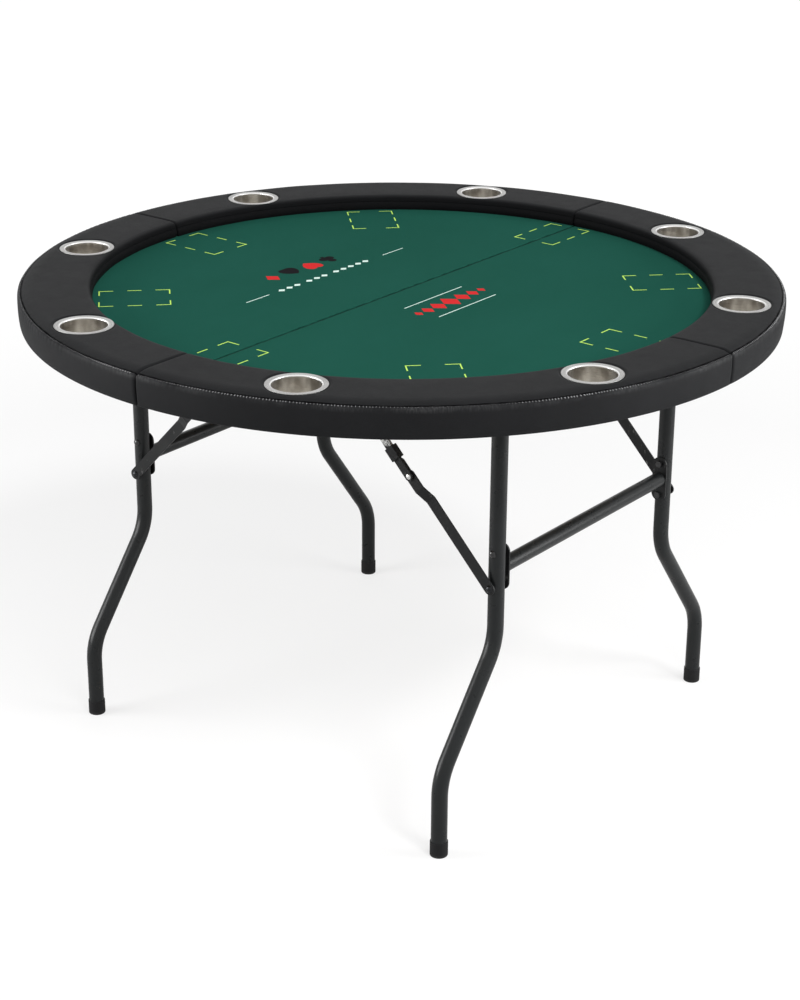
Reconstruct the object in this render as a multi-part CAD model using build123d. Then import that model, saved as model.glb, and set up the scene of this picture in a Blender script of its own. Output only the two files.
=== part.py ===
from build123d import *
import math
import os

# Folding poker table. Millimetres, +Z up, origin on the floor under the middle of the top.
# Y runs along the middle seam of the top and X across it. The right leg frame stands at +X.

# Whole table
table_height = 760.0
rail_radius = 610.0

# Top boards
board_thickness = 12.0
skirt_padding = 14.0
rail_rise = 47.0
seam_gap = 0.6

# Playing field
underlay_thickness = 7.0
felt_thickness = 1.8
field_edge_gap = 1.0

# Rail core
core_padding = 17.0
core_thickness = 19.0
rail_seam_gap = 1.0
rail_quarters = 4

# Rail pad
rail_width = 115.0
pad_inner_bulge = 1.0
pad_inner_round = 8.0
pad_crown_inset = 65.0
pad_inner_top_drop = 0.6
pad_stitch_drop = 2.6
pad_stitch_inset = 2.5
skirt_bulge = 0.5
skirt_inset = 2.0
pad_clearance = 0.4
hem_width = 20.0
hem_thickness = 1.2
pad_end_round = 5.0
felt_clearance = 0.2

# Cup holders
cup_count = 8
cup_edge_margin = 4.5
cup_flange_radius = 45.0
cup_flange_thickness = 1.2
cup_opening_radius = 35.7
cup_throat_round = 2.5
cup_wall = 0.8
cup_depth = 56.0
cup_taper = 1.0
cup_foot_round = 5.0
cup_floor_rise = 1.5
cup_floor_radius = 20.0
cup_seat_depth = 1.9
cup_seat_clearance = 0.3
cup_hole_clearance = 0.6
cup_flange_clearance = 0.7

# Wood screws
screw_radius = 2.0
screw_head_radius = 4.0
screw_head_height = 2.0
short_screw_length = 9.0
rail_screw_length = 22.0
rail_screw_inset = 40.0
rail_screw_end_angle = 8.0

# Joining plates under the seam
join_plate_length = 100.0
join_plate_width = 30.0
join_plate_thickness = 2.5
join_plate_offset = 420.0
join_screw_inner = 18.0
join_screw_outer = 38.0
plate_corner_round = 4.0

# Leg frames
tube_radius = 12.7
tube_wall = 1.4
frame_x = 366.0
pivot_drop = 15.5
leg_y = 235.3
foot_y = 369.7
upper_bend_z = 305.7
lower_bend_z = 130.3
bend_radius = 90.0
leg_top_rise = 5.0
leg_cap_thickness = 2.0
running_clearance = 0.3

# Crossbar and its end flanges
crossbar_radius = 12.0
flange_z = 429.0
flange_length = 76.0
flange_width = 26.0
flange_thickness = 2.5
bolt_spacing = 54.5
bolt_radius = 3.0
bolt_head_radius = 6.2
bolt_head_height = 3.4
nut_width = 10.0
nut_sides = 6
nut_height = 5.0

# Rubber feet
foot_radius = 14.0
foot_height = 25.0
foot_sole = 5.0
foot_edge_round = 1.5
foot_fit = 0.05

# Pivot brackets
bracket_y = 170.0
bracket_width = 30.0
bracket_thickness = 2.5
bracket_ear = 22.0
bracket_screw_spacing = 16.0

# Braces
link_thickness = 2.4
lower_link_width = 18.5
lower_link_length = 206.1
joggle_start = 46.6
joggle_end = 25.3
joggle_rise = 9.0
tail_length = 31.0
tail_width = 13.5
bush_radius = 6.0
bush_length = 3.9
brace_pin_head_height = 3.7
upper_link_thickness = 4.0
upper_link_width = 13.5
link_gap = 0.3
rivet_radius = 3.0
rivet_head_radius = 4.4
rivet_head_height = 1.6
rivet_inner_head_height = 1.4
pin_clearance = 0.15
head_gap = 0.2

# Lock rings
ring_gap_to_tail = 0.7
ring_length = 21.5
ring_wall = 1.6
ring_face_wall = 2.2
ring_side_clearance = 0.5
ring_corner_round = 1.2

# Brace brackets
brace_reach = 266.0
brace_pivot_drop = 35.0
brace_plate_width = 18.0
brace_plate_thickness = 3.0
brace_plate_flange = 24.0
brace_flange_thickness = 2.0
brace_screw_inset = 7.5
brace_screw_spacing = 11.0

cut_overrun = 1.0

# Radii and heights of the top, worked out from the sizes above
board_radius = rail_radius - skirt_padding
pad_inner_radius = rail_radius - rail_width
core_inner_radius = pad_inner_radius + core_padding
field_radius = core_inner_radius - field_edge_gap
pad_crown_radius = pad_inner_radius + pad_crown_inset
cup_circle_radius = pad_inner_radius + cup_edge_margin + cup_flange_radius
rail_screw_circle = board_radius - rail_screw_inset
board_underside = table_height - rail_rise
board_top = board_underside + board_thickness
underlay_top = board_top + underlay_thickness
felt_top = underlay_top + felt_thickness
core_top = board_top + core_thickness
stitch_z = table_height - pad_stitch_drop
stitch_radius = rail_radius - pad_stitch_inset
skirt_bottom = board_underside - hem_thickness
skirt_middle_z = (stitch_z + skirt_bottom) / 2
skirt_radius = rail_radius - skirt_inset
cup_seat_z = table_height - cup_seat_depth
flange_bottom_z = cup_seat_z + cup_seat_clearance
cup_top = flange_bottom_z + cup_flange_thickness
cup_bottom = cup_top - cup_depth
cup_outer_radius = cup_opening_radius + cup_wall
cup_hole_radius = cup_outer_radius + cup_hole_clearance
pivot_z = board_underside - pivot_drop
upper_bolt_z = flange_z + bolt_spacing / 2
lower_bolt_z = flange_z - bolt_spacing / 2
leg_outer_y = leg_y + tube_radius
leg_inner_y = leg_y - tube_radius
flange_inner_y = leg_inner_y - flange_thickness

# Planes of the brace pieces, as distances out from the middle of the frame
bush_inner_y = leg_outer_y + running_clearance
lower_link_y = bush_inner_y + bush_length
tail_y = lower_link_y + joggle_rise
upper_link_y = tail_y + link_thickness + link_gap
upper_link_outer_y = upper_link_y + upper_link_thickness
brace_plate_outer_y = upper_link_y - link_gap
brace_plate_y = brace_plate_outer_y - brace_plate_thickness
ring_inner_y = tail_y - ring_side_clearance
ring_outer_y = upper_link_outer_y + ring_side_clearance

# Line of a brace, from the lower bolt of its leg up to its bracket
brace_pivot_x = frame_x - brace_reach
brace_pivot_z = board_underside - brace_pivot_drop
brace_rise = brace_pivot_z - lower_bolt_z
brace_length = math.hypot(brace_reach, brace_rise)
brace_angle = math.degrees(math.atan2(brace_rise, brace_reach))
upper_link_length = brace_length - lower_link_length
half_turn = 180.0
quarter_turn = 90.0
full_turn = 360.0
half_step = 0.5


def save(solid, name):
    export_step(solid, os.path.join("parts", name + ".step"))


def group(solids):
    return Compound(children=list(solids))


def box_between(low, high):
    sizes = [high[i] - low[i] for i in range(3)]
    middle = [(high[i] + low[i]) / 2 for i in range(3)]
    return Pos(*middle) * Box(*sizes)


def upright(radius, low, high):
    return Pos(0, 0, (low + high) / 2) * Cylinder(radius, high - low)


def along_y(radius, low, high):
    return Pos(0, (low + high) / 2, 0) * Rot(quarter_turn, 0, 0) * Cylinder(radius, high - low)


def dome_along_y(radius, height, place, outward):
    """A low round head on the plane y = place, standing out along outward."""
    ball_radius = (radius ** 2 + height ** 2) / (2 * height)
    ball = Pos(0, place + outward * (height - ball_radius), 0) * Sphere(ball_radius)
    keep = along_y(radius, min(place, place + outward * height), max(place, place + outward * height))
    return ball & keep


def dome_below(radius, height, z):
    """A low round screw head under the plane at height z."""
    ball_radius = (radius ** 2 + height ** 2) / (2 * height)
    ball = Pos(0, 0, z - height + ball_radius) * Sphere(ball_radius)
    return ball & upright(radius, z - height, z)


def ring_points(radius, count, first_angle):
    for step in range(count):
        angle = math.radians(first_angle + step * full_turn / count)
        yield radius * math.cos(angle), radius * math.sin(angle)


def cup_places():
    return list(ring_points(cup_circle_radius, cup_count, full_turn / cup_count / 2))


def disc_half(radius, low, high, side):
    """Half a round plate on one side of the middle seam."""
    reach = radius + cut_overrun
    edge = seam_gap / 2
    near, far = (edge, reach) if side > 0 else (-reach, -edge)
    return upright(radius, low, high) & box_between((near, -reach, low), (far, reach, high))


def cut_cup_holes(solid, low, high):
    for x, y in cup_places():
        solid -= Pos(x, y, 0) * upright(cup_hole_radius, low - cut_overrun, high + cut_overrun)
    return solid


# Places of the wood screws, as (x, y, height of the seat, length)
def join_plate_rows():
    return (-join_plate_offset, 0, join_plate_offset)


def screw_places():
    places = []
    for y in join_plate_rows():
        for side in (-1, 1):
            for x in (join_screw_inner, join_screw_outer):
                places.append((side * x, y, board_underside - join_plate_thickness, short_screw_length))
    ear_x = bracket_outer_radius() + bracket_ear / 2
    for side in (-1, 1):
        for end in (-1, 1):
            for way in (-1, 1):
                for step in (-half_step, half_step):
                    x = side * frame_x + way * ear_x
                    y = end * bracket_y + step * bracket_screw_spacing
                    places.append((x, y, board_underside - bracket_thickness, short_screw_length))
            for step in (-half_step, half_step):
                x = side * brace_pivot_x + step * brace_screw_spacing
                y = end * (brace_plate_y + brace_plate_flange - brace_screw_inset)
                places.append((x, y, board_underside - brace_flange_thickness, short_screw_length))
    quarter_angle = full_turn / rail_quarters
    for quarter in range(rail_quarters):
        start = quarter * quarter_angle
        for angle in (rail_screw_end_angle, quarter_angle / 2, quarter_angle - rail_screw_end_angle):
            turn = math.radians(start + angle)
            places.append((rail_screw_circle * math.cos(turn), rail_screw_circle * math.sin(turn),
                           board_underside, rail_screw_length))
    return places


def bracket_outer_radius():
    return tube_radius + running_clearance + bracket_thickness


def screw(place):
    x, y, seat, length = place
    shank = upright(screw_radius, seat, seat + length)
    return Pos(x, y, 0) * (shank + dome_below(screw_head_radius, screw_head_height, seat))


def cut_screw_holes(solid, low, high):
    """Cuts the shank of each wood screw out of a solid that lies between two heights."""
    box = solid.bounding_box()
    for x, y, seat, length in screw_places():
        inside = box.min.X < x < box.max.X and box.min.Y < y < box.max.Y
        if inside and seat < high and seat + length > low:
            solid -= Pos(x, y, 0) * upright(screw_radius, seat, seat + length)
    return solid


# Top
def half_board(side):
    board = disc_half(board_radius, board_underside, board_top, side)
    board = cut_cup_holes(board, board_underside, board_top)
    return cut_screw_holes(board, board_underside, board_top)


def underlay_half(side):
    underlay = disc_half(field_radius, board_top, underlay_top, side)
    return cut_cup_holes(underlay, board_top, underlay_top)


def felt_half(side):
    felt = disc_half(field_radius, underlay_top, felt_top, side)
    return cut_cup_holes(felt, underlay_top, felt_top)


def quarter_wedge(quarter, low, high, reach):
    """The space of one rail quarter, half a seam short at each end."""
    gap = rail_seam_gap / 2
    wedge = box_between((gap, gap, low), (reach, reach, high))
    return Rot(0, 0, quarter * full_turn / rail_quarters) * wedge


def rail_core(quarter):
    ring = upright(board_radius, board_top, core_top)
    ring -= upright(core_inner_radius, board_top - cut_overrun, core_top + cut_overrun)
    core = ring & quarter_wedge(quarter, board_top, core_top, board_radius + cut_overrun)
    core = cut_cup_holes(core, board_top, core_top)
    return cut_screw_holes(core, board_top, core_top)


def pad_section():
    """Section of the rail pad in the XZ plane: crowned top, round inner edge, skirt and hem."""
    inner_base = (pad_inner_radius, felt_top + felt_clearance)
    inner_mid = (pad_inner_radius - pad_inner_bulge, (felt_top + table_height) / 2 - pad_inner_top_drop)
    inner_top_z = table_height - pad_inner_top_drop
    inner_shoulder = (pad_inner_radius + pad_inner_bulge / 2, inner_top_z - pad_inner_round)
    inner_corner = (pad_inner_radius + pad_inner_round, inner_top_z)
    round_share = 1 - math.cos(math.radians(quarter_turn / 2))
    inner_knee = (inner_shoulder[0] + pad_inner_round * round_share,
                  inner_corner[1] - pad_inner_round * round_share)
    stitch = (stitch_radius, stitch_z)
    crown = (pad_crown_radius, table_height)
    skirt_mid = (rail_radius + skirt_bulge - skirt_inset / 2, skirt_middle_z)
    skirt_low = (skirt_radius, skirt_bottom)
    hem_inner = board_radius + pad_clearance - hem_width
    core_ceiling = core_top + pad_clearance
    edge_radius = board_radius + pad_clearance
    with BuildSketch(Plane.XZ) as sketch:
        with BuildLine():
            ThreePointArc(inner_base, inner_mid, inner_shoulder)
            ThreePointArc(inner_shoulder, inner_knee, inner_corner)
            ThreePointArc(inner_corner, crown, stitch)
            ThreePointArc(stitch, skirt_mid, skirt_low)
            Polyline(skirt_low, (hem_inner, skirt_bottom), (hem_inner, board_underside),
                     (edge_radius, board_underside), (edge_radius, core_ceiling),
                     (core_inner_radius - pad_clearance, core_ceiling),
                     (core_inner_radius - pad_clearance, felt_top + felt_clearance), inner_base)
        make_face()
    return sketch.sketch


def rail_pad(quarter):
    ring = revolve(pad_section(), Axis.Z, revolution_arc=full_turn / rail_quarters)
    pad = ring & quarter_wedge(0, skirt_bottom - cut_overrun, table_height + cut_overrun,
                               rail_radius + cut_overrun)
    for cutter in pad_end_cutters():
        pad -= cutter
        pad -= Rot(0, 0, quarter_turn) * cutter.mirror(Plane.XZ)
    pad = Rot(0, 0, quarter * full_turn / rail_quarters) * pad
    seat_radius = cup_flange_radius + cup_flange_clearance
    for x, y in cup_places():
        pad -= Pos(x, y, 0) * upright(seat_radius, cup_seat_z, table_height + cut_overrun)
    return cut_cup_holes(pad, skirt_bottom, table_height)


def pad_end_cutters():
    """What is missing at the first end of a quarter, where the cover turns in round the crown and skirt."""
    start = rail_seam_gap / 2
    axis_y = start + pad_end_round
    axis_z = table_height - pad_end_round
    axis_x = rail_radius - pad_end_round
    reach = rail_radius + cut_overrun
    length = reach - pad_inner_radius + pad_inner_round
    crown = box_between((reach - length, 0, axis_z), (reach, axis_y, table_height + cut_overrun))
    crown_rod = Rot(0, quarter_turn, 0) * Cylinder(pad_end_round, length)
    crown -= Pos(reach - length / 2, axis_y, axis_z) * crown_rod
    skirt = box_between((axis_x, 0, skirt_bottom - cut_overrun), (reach, axis_y, table_height + cut_overrun))
    skirt -= Pos(axis_x, axis_y, 0) * upright(pad_end_round, skirt_bottom - 2 * cut_overrun,
                                              table_height + 2 * cut_overrun)
    return [crown, skirt]


def joining_plates():
    plates = []
    for y in join_plate_rows():
        low = board_underside - join_plate_thickness
        plate = box_between((-join_plate_length / 2, y - join_plate_width / 2, low),
                            (join_plate_length / 2, y + join_plate_width / 2, board_underside))
        plate = plate.fillet(plate_corner_round, plate.edges().filter_by(Axis.Z))
        plates.append(cut_screw_holes(plate, low, board_underside))
    return plates


def pivot_bracket(side, end):
    """A saddle strap that holds the frame's top tube up against the board."""
    inner = tube_radius + running_clearance
    outer = bracket_outer_radius()
    reach = outer + bracket_ear
    ear_low = board_underside - bracket_thickness
    y_low = bracket_y - bracket_width / 2
    y_high = bracket_y + bracket_width / 2
    shell = Pos(0, 0, pivot_z) * along_y(outer, y_low, y_high)
    shell += box_between((-outer, y_low, pivot_z), (outer, y_high, board_underside))
    shell += box_between((-reach, y_low, ear_low), (reach, y_high, board_underside))
    shell -= Pos(0, 0, pivot_z) * along_y(inner, y_low - cut_overrun, y_high + cut_overrun)
    shell -= box_between((-inner, y_low - cut_overrun, pivot_z),
                         (inner, y_high + cut_overrun, board_underside + cut_overrun))
    upright_edges = shell.edges().filter_by(Axis.Z)
    corners = upright_edges.filter_by(lambda edge: abs(edge.center().X) > reach - cut_overrun)
    shell = shell.fillet(plate_corner_round, corners)
    shell = Pos(side * frame_x, 0, 0) * shell
    if end < 0:
        shell = shell.mirror(Plane.XZ)
    return cut_screw_holes(shell, ear_low, board_underside)


def brace_bracket(side, end):
    """A hanging plate with an outward flange, and the pin on which the upper link turns."""
    half = brace_plate_width / 2
    plate = box_between((-half, brace_plate_y, brace_pivot_z), (half, brace_plate_outer_y, board_underside))
    plate += Pos(0, 0, brace_pivot_z) * along_y(half, brace_plate_y, brace_plate_outer_y)
    flange_low = board_underside - brace_flange_thickness
    flange_y = brace_plate_y + brace_plate_flange
    plate += box_between((-half, brace_plate_y, flange_low), (half, flange_y, board_underside))
    plate -= Pos(0, 0, brace_pivot_z) * along_y(rivet_radius, brace_plate_y - cut_overrun,
                                                brace_plate_outer_y + cut_overrun)
    plate = at_quadrant(Pos(brace_pivot_x, 0, 0) * plate, side, end)
    plate = cut_screw_holes(plate, flange_low, board_underside)
    head_y = upper_link_outer_y + head_gap
    pin = along_y(rivet_radius, brace_plate_y, head_y)
    pin += dome_along_y(rivet_head_radius, rivet_inner_head_height, brace_plate_y, -1)
    pin += dome_along_y(rivet_head_radius, rivet_head_height, head_y, 1)
    pin = at_quadrant(Pos(brace_pivot_x, 0, brace_pivot_z) * pin, side, end)
    return [plate, pin]


def at_quadrant(solid, side, end):
    """Moves a solid made for the right frame's back leg to any of the four legs."""
    if side < 0:
        solid = solid.mirror(Plane.YZ)
    if end < 0:
        solid = solid.mirror(Plane.XZ)
    return solid


# Cup holders
def cup_profile():
    """Section of a cup as a closed outline: flange, wall and foot outside, then floor, wall and throat."""
    wall_low_radius = cup_opening_radius - cup_taper
    low_outer_radius = wall_low_radius + cup_wall
    foot_radius_in = wall_low_radius - cup_foot_round
    foot_z = cup_bottom + cup_wall + cup_foot_round
    floor_z = cup_bottom + cup_floor_rise
    neck_z = cup_top - cup_throat_round
    lip_z = cup_top - cup_flange_thickness / 2
    lip_radius = cup_flange_radius - cup_flange_thickness / 2
    bend = math.sin(math.radians(quarter_turn / 2))
    outer_foot = cup_foot_round + cup_wall
    throat_mid = cup_throat_round * (1 - bend)
    outside = [Line((cup_flange_radius, lip_z), (cup_flange_radius, flange_bottom_z)),
               Line((cup_flange_radius, flange_bottom_z), (cup_outer_radius, flange_bottom_z)),
               Line((cup_outer_radius, flange_bottom_z), (low_outer_radius, foot_z)),
               ThreePointArc((low_outer_radius, foot_z),
                             (foot_radius_in + outer_foot * bend, foot_z - outer_foot * bend),
                             (foot_radius_in, cup_bottom)),
               Line((foot_radius_in, cup_bottom), (cup_floor_radius, floor_z)),
               Line((cup_floor_radius, floor_z), (0, floor_z))]
    inside = [Line((0, floor_z), (0, floor_z + cup_wall)),
              Line((0, floor_z + cup_wall), (cup_floor_radius, floor_z + cup_wall)),
              Line((cup_floor_radius, floor_z + cup_wall), (foot_radius_in, cup_bottom + cup_wall)),
              ThreePointArc((foot_radius_in, cup_bottom + cup_wall),
                            (foot_radius_in + cup_foot_round * bend, foot_z - cup_foot_round * bend),
                            (wall_low_radius, foot_z)),
              Line((wall_low_radius, foot_z), (cup_opening_radius, neck_z)),
              ThreePointArc((cup_opening_radius, neck_z),
                            (cup_opening_radius + throat_mid, cup_top - throat_mid),
                            (cup_opening_radius + cup_throat_round, cup_top)),
              Line((cup_opening_radius + cup_throat_round, cup_top), (lip_radius, cup_top)),
              Line((lip_radius, cup_top), (cup_flange_radius, lip_z))]
    return outside + inside


def cup_holder(place):
    x, y = place
    section = Plane.XZ * make_face(Wire(cup_profile()))
    return Pos(x, y, 0) * revolve(section, Axis.Z, revolution_arc=full_turn)


# Leg frames
def leg_path():
    points = [(frame_x, leg_y, pivot_z + leg_top_rise), (frame_x, leg_y, upper_bend_z),
              (frame_x, foot_y, lower_bend_z), (frame_x, foot_y, foot_sole)]
    return FilletPolyline(*points, radius=bend_radius)


def leg_tube():
    """A bent leg with a welded top cap and two cross holes for the flange bolts."""
    path = leg_path()
    start = Plane(origin=(frame_x, leg_y, pivot_z + leg_top_rise), z_dir=(0, 0, -1))
    ring = start * (Circle(tube_radius) - Circle(tube_radius - tube_wall))
    leg = sweep(ring, path=path)
    top = pivot_z + leg_top_rise
    leg += Pos(frame_x, leg_y, 0) * upright(tube_radius - tube_wall, top - leg_cap_thickness, top)
    for z in (upper_bolt_z, lower_bolt_z):
        leg -= Pos(frame_x, 0, z) * along_y(bolt_radius, leg_inner_y - cut_overrun, leg_outer_y + cut_overrun)
    return leg


def pivot_tube():
    tube = Pos(frame_x, 0, pivot_z) * along_y(tube_radius, -leg_y, leg_y)
    bore_end = leg_y + cut_overrun
    tube -= Pos(frame_x, 0, pivot_z) * along_y(tube_radius - tube_wall, -bore_end, bore_end)
    for end in (-1, 1):
        post = upright(tube_radius, pivot_z - 2 * tube_radius, pivot_z + 2 * tube_radius)
        tube -= Pos(frame_x, end * leg_y, 0) * post
    return tube.solids().sort_by(SortBy.VOLUME)[-1]


def crossbar():
    bar = along_y(crossbar_radius, -flange_inner_y, flange_inner_y)
    bar -= along_y(crossbar_radius - tube_wall, -flange_inner_y - cut_overrun, flange_inner_y + cut_overrun)
    return Pos(frame_x, 0, flange_z) * bar


def flange_plate():
    """An upright plate with round ends between the crossbar and a leg."""
    half = flange_width / 2
    straight = flange_length / 2 - half
    plate = box_between((-half, flange_inner_y, -straight), (half, leg_inner_y, straight))
    for way in (-1, 1):
        plate += Pos(0, 0, way * straight) * along_y(half, flange_inner_y, leg_inner_y)
    for way in (-1, 1):
        plate -= Pos(0, 0, way * bolt_spacing / 2) * along_y(bolt_radius, flange_inner_y - cut_overrun,
                                                             leg_inner_y + cut_overrun)
    return Pos(frame_x, 0, flange_z) * plate


def hex_nut(low, high):
    nut = extrude(Plane.XZ * RegularPolygon(nut_width / 2, nut_sides, major_radius=False), high - low)
    place = nut.bounding_box().min.Y
    return Pos(0, low - place, 0) * nut - along_y(bolt_radius, low - cut_overrun, high + cut_overrun)


def leg_bolts():
    """The upper bolt with its head, the lower bolt up to the leg's outer face, and their nuts."""
    nut_low = flange_inner_y - nut_height
    upper = along_y(bolt_radius, nut_low, leg_outer_y)
    upper += dome_along_y(bolt_head_radius, bolt_head_height, leg_outer_y, 1)
    lower = along_y(bolt_radius, nut_low, leg_outer_y)
    solids = []
    for z, bolt in ((upper_bolt_z, upper), (lower_bolt_z, lower)):
        solids.append(Pos(frame_x, 0, z) * bolt)
        solids.append(Pos(frame_x, 0, z) * hex_nut(nut_low, flange_inner_y))
    return solids


def rubber_foot():
    foot = upright(foot_radius, 0, foot_height)
    foot = foot.fillet(foot_edge_round, foot.edges().filter_by(GeomType.CIRCLE))
    foot -= upright(tube_radius + foot_fit, foot_sole, foot_height + cut_overrun)
    return Pos(frame_x, foot_y, 0) * foot


# Braces, made along X from the leg's lower bolt and then laid on the brace's line
def lay_brace(solid):
    return Pos(frame_x, 0, lower_bolt_z) * Rot(0, half_turn + brace_angle, 0) * solid


def slot_along(start, stop, width, low_y, high_y):
    half = width / 2
    bar = box_between((start, low_y, -half), (stop, high_y, half))
    for x in (start, stop):
        bar += Pos(x, 0, 0) * along_y(half, low_y, high_y)
    return bar


def lower_link():
    """A flat bar with a joggle before the rivet and a short tail beyond it."""
    start = -lower_link_width / 2
    low_step = lower_link_length - joggle_start
    high_step = lower_link_length - joggle_end
    tail_end = lower_link_length + tail_length
    points = [(start, lower_link_y), (low_step, lower_link_y), (high_step, tail_y), (tail_end, tail_y),
              (tail_end, tail_y + link_thickness), (high_step, tail_y + link_thickness),
              (low_step, lower_link_y + link_thickness), (start, lower_link_y + link_thickness)]
    strip = extrude(make_face(Polyline(*points, close=True)), lower_link_width / 2, both=True)
    outline = slot_along(0, lower_link_length, lower_link_width, lower_link_y, tail_y + link_thickness)
    outline += slot_along(lower_link_length, tail_end - tail_width / 2, tail_width, lower_link_y,
                          tail_y + link_thickness)
    link = strip & outline
    for x in (0, lower_link_length):
        link -= Pos(x, 0, 0) * along_y(rivet_radius, lower_link_y - cut_overrun,
                                       tail_y + link_thickness + cut_overrun)
    return lay_brace(link)


def upper_link():
    link = slot_along(lower_link_length, brace_length, upper_link_width, upper_link_y, upper_link_outer_y)
    for x in (lower_link_length, brace_length):
        link -= Pos(x, 0, 0) * along_y(rivet_radius + pin_clearance, upper_link_y - cut_overrun,
                                       upper_link_outer_y + cut_overrun)
    return lay_brace(link)


def lock_ring():
    """A square sleeve round the upper link, deep enough to take the tail as well."""
    start = lower_link_length + tail_length + ring_gap_to_tail
    stop = start + ring_length
    half = upper_link_width / 2 + ring_side_clearance
    outer = box_between((start, ring_inner_y - ring_face_wall, -half - ring_wall),
                        (stop, ring_outer_y + ring_face_wall, half + ring_wall))
    outer = outer.fillet(ring_corner_round, outer.edges().filter_by(Axis.X))
    inner = box_between((start - cut_overrun, ring_inner_y, -half), (stop + cut_overrun, ring_outer_y, half))
    return lay_brace(outer - inner)


def link_pins():
    """The rivet between the links, and the pin and bush that stand on the leg."""
    head_y = upper_link_outer_y + head_gap
    rivet = along_y(rivet_radius, tail_y, head_y)
    rivet += dome_along_y(rivet_head_radius, rivet_inner_head_height, tail_y, -1)
    rivet += dome_along_y(rivet_head_radius, rivet_head_height, head_y, 1)
    rivet = Pos(lower_link_length, 0, 0) * rivet
    pin = along_y(rivet_radius, bush_inner_y, lower_link_y + link_thickness)
    pin += dome_along_y(bolt_head_radius, brace_pin_head_height, lower_link_y + link_thickness, 1)
    bush = along_y(bush_radius, bush_inner_y, lower_link_y)
    bush -= along_y(rivet_radius, bush_inner_y - cut_overrun, lower_link_y + cut_overrun)
    return [lay_brace(rivet), lay_brace(pin), lay_brace(bush)]


SIDES = (("right", 1), ("left", -1))
ENDS = (("front", -1), ("back", 1))


def build_top():
    for side_name, side in SIDES:
        save(half_board(side), "half_board_" + side_name)
        save(felt_half(side), "felt_" + side_name)
        save(group(pivot_bracket(side, end) for _, end in ENDS), "pivot_brackets_" + side_name)
        plates = [piece for _, end in ENDS for piece in brace_bracket(side, end)]
        save(group(plates), "brace_brackets_" + side_name)
    save(group(underlay_half(side) for _, side in SIDES), "felt_underlay")
    for quarter in range(rail_quarters):
        save(rail_core(quarter), "rail_core_" + str(quarter + 1))
        save(rail_pad(quarter), "rail_pad_" + str(quarter + 1))
    save(group(joining_plates()), "joining_plates")
    save(group(screw(place) for place in screw_places()), "underside_screws")


def build_cups():
    for index, place in enumerate(cup_places()):
        save(cup_holder(place), "cup_holder_" + str(index + 1))


def build_frames():
    leg = leg_tube()
    foot = rubber_foot()
    for side_name, side in SIDES:
        save(at_quadrant(pivot_tube(), side, 1), "pivot_tube_" + side_name)
        save(at_quadrant(crossbar(), side, 1), "crossbar_" + side_name)
        plates = [at_quadrant(flange_plate(), side, end) for _, end in ENDS]
        save(group(plates), "flange_plates_" + side_name)
        bolts = [at_quadrant(piece, side, end) for _, end in ENDS for piece in leg_bolts()]
        save(group(bolts), "frame_bolts_" + side_name)
        for end_name, end in ENDS:
            corner = side_name + "_" + end_name
            save(at_quadrant(leg, side, end), "leg_" + corner)
            save(at_quadrant(foot, side, end), "foot_" + corner)


def build_braces():
    for side_name, side in SIDES:
        for end_name, end in ENDS:
            corner = side_name + "_" + end_name
            save(at_quadrant(upper_link(), side, end), "upper_link_" + corner)
            save(at_quadrant(lower_link(), side, end), "lower_link_" + corner)
            save(at_quadrant(lock_ring(), side, end), "lock_ring_" + corner)
            save(group(at_quadrant(piece, side, end) for piece in link_pins()), "link_pins_" + corner)


os.makedirs("parts", exist_ok=True)
build_top()
build_cups()
build_frames()
build_braces()
print("brace angle", round(brace_angle, 2), "upper link length", round(upper_link_length, 2))
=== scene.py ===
import bpy
import math
import numpy as np
from mathutils import Matrix, Vector, noise


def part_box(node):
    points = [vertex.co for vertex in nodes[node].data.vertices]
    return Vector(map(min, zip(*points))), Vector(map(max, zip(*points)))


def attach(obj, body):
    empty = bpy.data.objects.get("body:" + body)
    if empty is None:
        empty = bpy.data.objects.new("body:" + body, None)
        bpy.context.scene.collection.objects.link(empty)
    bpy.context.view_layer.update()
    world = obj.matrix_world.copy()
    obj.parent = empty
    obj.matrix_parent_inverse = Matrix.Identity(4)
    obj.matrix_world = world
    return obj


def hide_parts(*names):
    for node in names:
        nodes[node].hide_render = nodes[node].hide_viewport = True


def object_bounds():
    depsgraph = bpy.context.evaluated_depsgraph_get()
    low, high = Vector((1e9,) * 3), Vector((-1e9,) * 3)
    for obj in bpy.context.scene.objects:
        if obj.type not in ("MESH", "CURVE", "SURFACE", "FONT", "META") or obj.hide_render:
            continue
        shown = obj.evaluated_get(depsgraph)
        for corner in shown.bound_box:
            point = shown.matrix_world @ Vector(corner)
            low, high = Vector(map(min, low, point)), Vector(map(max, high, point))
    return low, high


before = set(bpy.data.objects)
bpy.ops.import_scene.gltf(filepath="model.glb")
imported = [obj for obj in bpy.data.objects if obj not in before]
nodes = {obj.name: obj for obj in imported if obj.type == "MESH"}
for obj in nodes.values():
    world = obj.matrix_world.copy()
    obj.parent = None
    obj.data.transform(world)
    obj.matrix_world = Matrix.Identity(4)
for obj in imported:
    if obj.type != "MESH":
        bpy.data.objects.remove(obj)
cad_low, cad_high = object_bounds()

# Folding poker table. Metres, in the frame's own axes: Y along the middle seam, X across it.
SIDES = ("right", "left")
ENDS = ("front", "back")
QUARTERS = (0, 1, 2, 3)

# Camera, as the photograph was taken
CAMERA_AZIMUTH = 37.91
CAMERA_ELEVATION = 22.60
CAMERA_ROLL = 0.36
CAMERA_DISTANCE = 3.64087
CAMERA_TARGET = Vector((0.00089, -0.00224, 0.36860))
CAMERA_LENS_MM = 78.37
SENSOR_MM = 36.0

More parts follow.
